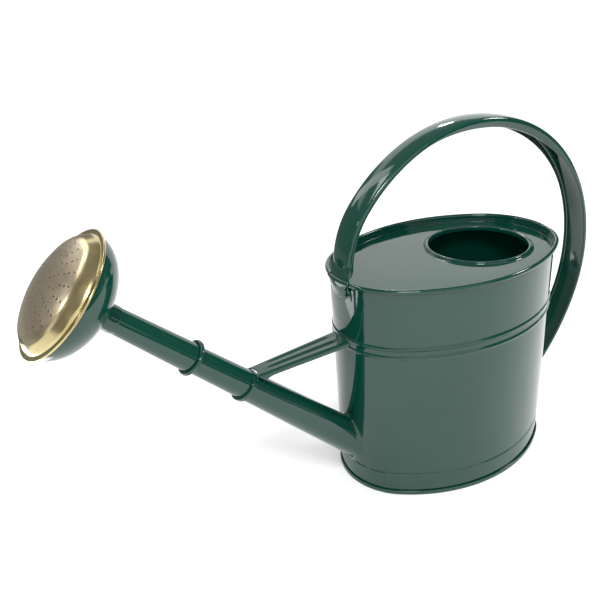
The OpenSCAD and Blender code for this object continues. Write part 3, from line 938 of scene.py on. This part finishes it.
def brass():
    """Spun brass: turning rings, soft tarnish and fine specks."""
    m, nt, bsdf = new_material("brass")
    co = object_coords(nt)
    tarnish = noise(nt, co, 22.0, 5.0, 0.6)
    dull = ramp(nt, tarnish, (0.3, (0.58, 0.48, 0.34)), (0.55, (0.64, 0.54, 0.39)),
                (0.8, (0.7, 0.6, 0.43)))
    gold = ramp(nt, tarnish, (0.3, (0.46, 0.37, 0.17)), (0.55, (0.6, 0.51, 0.27)),
                (0.8, (0.7, 0.62, 0.36)))
    # The pierced dome is duller than the burnished shoulder round it
    from_root = vector_math(nt, "SUBTRACT", co, (SPOUT_X * MM, 0, SPOUT_Z * MM))["Vector"]
    across = vector_math(nt, "CROSS_PRODUCT", from_root, ALONG)["Vector"]
    radius = vector_math(nt, "LENGTH", across)["Value"]
    shoulder = span(nt, radius, (DOME_R - 1.0) * MM, (DOME_R + 6.0) * MM, 0.0, 1.0)
    specks = span(nt, noise(nt, co, 900.0, 2.0, 0.7), 0.66, 0.74, 0.0, 0.35)
    colour = blend(nt, specks, blend(nt, shoulder, dull, gold), (0.78, 0.72, 0.55))
    nt.links.new(colour, bsdf.inputs["Base Color"])
    bsdf.inputs["Metallic"].default_value = 1.0
    rough = add(nt, "ShaderNodeMath", operation="MULTIPLY")
    nt.links.new(span(nt, noise(nt, co, 90.0, 4.0, 0.6), 0.3, 0.7, 0.27, 0.35), rough.inputs[0])
    nt.links.new(span(nt, shoulder, 0.0, 1.0, 1.0, 0.6), rough.inputs[1])
    nt.links.new(rough.outputs["Value"], bsdf.inputs["Roughness"])
    rings = add(nt, "ShaderNodeTexWave", wave_type="RINGS", rings_direction="Z",
                wave_profile="SIN")
    rings.inputs["Scale"].default_value = 260.0
    rings.inputs["Distortion"].default_value = 1.2
    rings.inputs["Detail"].default_value = 2.0
    out = add(nt, "ShaderNodeCombineXYZ")
    nt.links.new(radius, out.inputs["X"])
    nt.links.new(out.outputs["Vector"], rings.inputs["Vector"])
    turned = bump(nt, rings.outputs["Fac"], 0.04, 0.0002)
    dented = bump(nt, noise(nt, co, 26.0, 2.0, 0.5), 0.05, 0.002, turned)
    nt.links.new(dented, bsdf.inputs["Normal"])
    return m


def wire():
    """Bare drawn steel wire."""
    m, nt, bsdf = new_material("drawn_wire")
    grain = noise(nt, object_coords(nt), 300.0, 3.0, 0.6)
    grey = ramp(nt, grain, (0.3, (0.36, 0.36, 0.35)), (0.7, (0.55, 0.55, 0.54)))
    nt.links.new(grey, bsdf.inputs["Base Color"])
    bsdf.inputs["Metallic"].default_value = 1.0
    nt.links.new(span(nt, grain, 0.3, 0.7, 0.3, 0.5), bsdf.inputs["Roughness"])
    return m


GREEN, BRASS, WIRE = enamel(), brass(), wire()


def piece(ob, node, body, mat, extra=False):
    """Puts a piece on its body, in place of its CAD node; extra marks a second piece for it."""
    ob.data.materials.clear()
    ob.data.materials.append(mat)
    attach(ob, body)
    if not extra:
        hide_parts(node)
    return ob


piece(body_wall(), "body_shell", "can", GREEN)
piece(base_panel(), "base_plate", "can", GREEN)
piece(top_plate(), "deck", "can", GREEN)
piece(handle(), "handle", "can", GREEN)
piece(front_bracket(), "front_bracket", "can", GREEN)
piece(rear_bracket(), "rear_bracket", "can", GREEN)
piece(strut(), "strut", "can", GREEN)
piece(collar(), "strut_collar", "can", GREEN)
piece(spout(), "spout", "can", GREEN)
piece(spout_fillet(), "spout", "can", GREEN, extra=True)
piece(sleeve(), "rose_sleeve", "sleeve", GREEN)
piece(neck(), "rose_neck", "rose", GREEN)
piece(rose_back(), "rose_back", "rose", GREEN)
piece(rose_face(), "rose_face", "rose", BRASS)
for name in ("rim_wire", "sleeve_wire"):
    nodes[name].data.materials.clear()
    nodes[name].data.materials.append(WIRE)

# ---------------------------------------------------------------- floor, light, camera
scene = bpy.context.scene


def rectangle(name, width, height, mat):
    """A flat rectangle in the XY plane round the origin, in millimetres."""
    w, h = width / 2, height / 2
    ob = link(name, [(-w, -h, 0), (w, -h, 0), (w, h, 0), (-w, h, 0)], [(0, 1, 2, 3)])
    ob.data.materials.append(mat)
    return ob


floor_mat, _, floor_bsdf = new_material("floor")
floor_bsdf.inputs["Base Color"].default_value = (0.88, 0.88, 0.88, 1)
floor_bsdf.inputs["Roughness"].default_value = 0.9
floor_bsdf.inputs["Specular IOR Level"].default_value = 0.0
floor = rectangle("floor", 180000, 180000, floor_mat)

# A white studio
world = bpy.data.worlds.new("studio")
scene.world = world
world.use_nodes = True
bg = world.node_tree.nodes["Background"]
bg.inputs["Color"].default_value = (1, 1, 1, 1)
bg.inputs["Strength"].default_value = 1.3


def card(name, centre, facing, width, height, radiance):
    """A studio card that only reflections see, in metres but for its width and height in mm:
    white where it glows, and black where it doesn't."""
    mat, _, bsdf = new_material(name)
    bsdf.inputs["Base Color"].default_value = (0, 0, 0, 1)
    bsdf.inputs["Roughness"].default_value = 1.0
    bsdf.inputs["Specular IOR Level"].default_value = 0.0
    bsdf.inputs["Emission Color"].default_value = (1, 1, 1, 1)
    bsdf.inputs["Emission Strength"].default_value = radiance
    ob = rectangle(name, width, height, mat)
    ob.location = centre
    ob.rotation_euler = (Vector(facing) - Vector(centre)).to_track_quat("Z", "Y").to_euler()
    ob.visible_camera = ob.visible_diffuse = ob.visible_shadow = False
    ob.visible_transmission = ob.visible_volume_scatter = False


def floor_card(name, x, y, z, width, height, radiance):
    """A card that lies face up just over the floor."""
    card(name, (x, y, z), (x, y, 1), width, height, radiance)


def area(name, loc, target, size, power):
    data = bpy.data.lights.new(name, "AREA")
    data.energy, data.size = power, size
    ob = bpy.data.objects.new(name, data)
    scene.collection.objects.link(ob)
    ob.location = loc
    ob.rotation_euler = (Vector(target) - Vector(loc)).to_track_quat("-Z", "Y").to_euler()


LOW_BODY, MID_BODY, ROSE = (0, 0, 0.15), (0, 0, 0.25), (-0.42, 0, 0.31)
area("key", (-0.7, -1.1, 1.7), LOW_BODY, 0.45, 20)
area("side", (1.3, -0.5, 1.3), LOW_BODY, 0.3, 7)
# Grey cards round the can, which darken what it reflects
card("ceiling", (-0.95, 0, 1.7), (-0.95, 0, 0), 5300, 3400, 0.3)
card("flag_left", (-1.75, 1.25, 0.75), MID_BODY, 2300, 1500, 0.26)
card("flag_right", (2.0, 0.3, 0.9), MID_BODY, 1400, 1500, 0.1)
card("flag_front", (1.75, -1.35, 0.85), MID_BODY, 2300, 1500, 0.12)
floor_card("dim_floor", -1.5, 1.75, 0.006, 2300, 2700, 0.4)
floor_card("dim_far", -0.5, 3.4, 0.006, 2000, 2800, 0.35)
floor_card("dim_front", 0.9, -2.05, 0.006, 3600, 2600, 0.14)
floor_card("dark_patch", -0.66, 0.7, 0.012, 340, 280, 0.06)
card("flag_far_left", (-3.0, -0.75, 0.9), ROSE, 1500, 1150, 0.25)
card("wall_back", (-0.75, 2.5, 0.8), ROSE, 1900, 1600, 0.25)
# Bright cards, which put the highlights on the rose, the foot and the hoop
card("lamp_top", (-0.47, 1.25, 1.4), ROSE, 350, 1300, 2.5)
card("lamp_rose", (-0.8, 0.66, 1.52), ROSE, 740, 240, 5.0)
floor_card("glow_left", -0.6, 0.3, 0.01, 300, 480, 4.0)
card("lamp_back", (1.35, 1.9, 1.75), (0.03, 0, 0.35), 260, 200, 26.0)
card("lamp_left", (-2.1, 0.45, 1.45), (-0.05, 0, 0.3), 240, 200, 26.0)

# The camera, fitted to the photograph's view of the can
az, el, roll = math.radians(-27.299), math.radians(25.155), math.radians(-4.313)
target, distance = Vector((-0.1801, 0, 0.2404)), 0.6925
back = Vector((math.sin(az) * math.cos(el), -math.cos(az) * math.cos(el), math.sin(el)))
level = Vector((math.cos(az), math.sin(az), 0))
rise = Vector((-math.sin(el) * math.sin(az), math.sin(el) * math.cos(az), math.cos(el)))
right = level * math.cos(roll) + rise * math.sin(roll)
up = rise * math.cos(roll) - level * math.sin(roll)
pos = target + back * distance
cam_data = bpy.data.cameras.new("camera")
cam_data.sensor_width, cam_data.lens = 36.0, 42.0
cam_data.clip_start, cam_data.clip_end = 0.01, 50
cam = bpy.data.objects.new("camera", cam_data)
scene.collection.objects.link(cam)
cam.matrix_world = Matrix(((right.x, up.x, back.x, pos.x), (right.y, up.y, back.y, pos.y),
                           (right.z, up.z, back.z, pos.z), (0, 0, 0, 1)))
scene.camera = cam
scene.view_settings.view_transform = "Standard"
